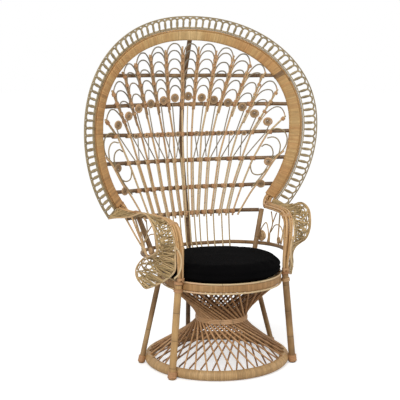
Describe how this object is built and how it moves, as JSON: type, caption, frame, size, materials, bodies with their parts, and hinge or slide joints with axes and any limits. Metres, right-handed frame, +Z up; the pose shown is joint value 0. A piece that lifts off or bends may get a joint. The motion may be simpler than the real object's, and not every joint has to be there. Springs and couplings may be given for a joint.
{
  "type": "peacock chair",
  "caption": "Peacock chair: tall rattan armchair with a wide dished fan back, openwork lace rim, folded lace arms, round cushion and a twisted hourglass base.",
  "frame": {"origin": "on the floor, under the middle of the whole chair's bounding box", "axes": "+Z up, +X to the sitter's left hand, -Y the way the sitter faces; the chair is symmetric about x = 0 apart from the twist of the base"},
  "size_m": [1.112, 0.6864, 1.4999],
  "materials": {
    "golden_cane": "satin varnished rattan",
    "brown_pole": "satin varnished rattan pole",
    "pale_cane": "satin natural rattan",
    "grey_cane": "matt thin rattan",
    "reddish_cane": "satin rattan",
    "seat_weave": "matt woven cane",
    "cushion_cloth": "matt woven cloth"
  },
  "bodies": {
    "root": {"base_ring": "golden_cane", "hourglass_outer_strands": "golden_cane", "hourglass_inner_strands": "reddish_cane", "seat_ring": "golden_cane", "seat_edge_cane_top": "pale_cane", "seat_edge_cane_bottom": "pale_cane", "seat_deck": "seat_weave", "cushion": "cushion_cloth", "front_leg_left": "golden_cane", "front_leg_right": "golden_cane", "side_pole_left": "brown_pole", "side_pole_right": "brown_pole", "spine_pole": "brown_pole", "fan_band": "golden_cane", "band_edge_cane": "brown_pole", "rim_lace": "grey_cane", "rung_1": "brown_pole", "rung_2": "brown_pole", "rung_3": "brown_pole", "rung_4": "brown_pole", "rung_5": "brown_pole", "rung_6": "brown_pole", "rung_7": "brown_pole", "stake_left_0": "pale_cane", "stake_right_0": "pale_cane", "stake_left_1": "pale_cane", "stake_right_1": "pale_cane", "stake_left_2": "pale_cane", "stake_right_2": "pale_cane", "stake_left_3": "pale_cane", "stake_right_3": "pale_cane", "stake_left_4": "pale_cane", "stake_right_4": "pale_cane", "stake_left_5": "pale_cane", "stake_right_5": "pale_cane", "stake_left_6": "pale_cane", "stake_right_6": "pale_cane", "rosette_centre": "pale_cane", "rosette_left_1": "pale_cane", "rosette_right_1": "pale_cane", "rosette_left_2": "pale_cane", "rosette_right_2": "pale_cane", "rosette_left_3": "pale_cane", "rosette_right_3": "pale_cane", "rosette_left_4": "pale_cane", "rosette_right_4": "pale_cane", "rosette_left_5": "pale_cane", "rosette_right_5": "pale_cane", "rosette_left_6": "pale_cane", "rosette_right_6": "pale_cane", "feather_lattice": "grey_cane", "side_scroll_left": "pale_cane", "side_scroll_right": "pale_cane", "arm_band_left": "golden_cane", "arm_band_right": "golden_cane", "arm_lace_left": "grey_cane", "arm_lace_right": "grey_cane", "arm_infill_left": "grey_cane", "arm_infill_right": "grey_cane"}
  },
  "joints": []
}
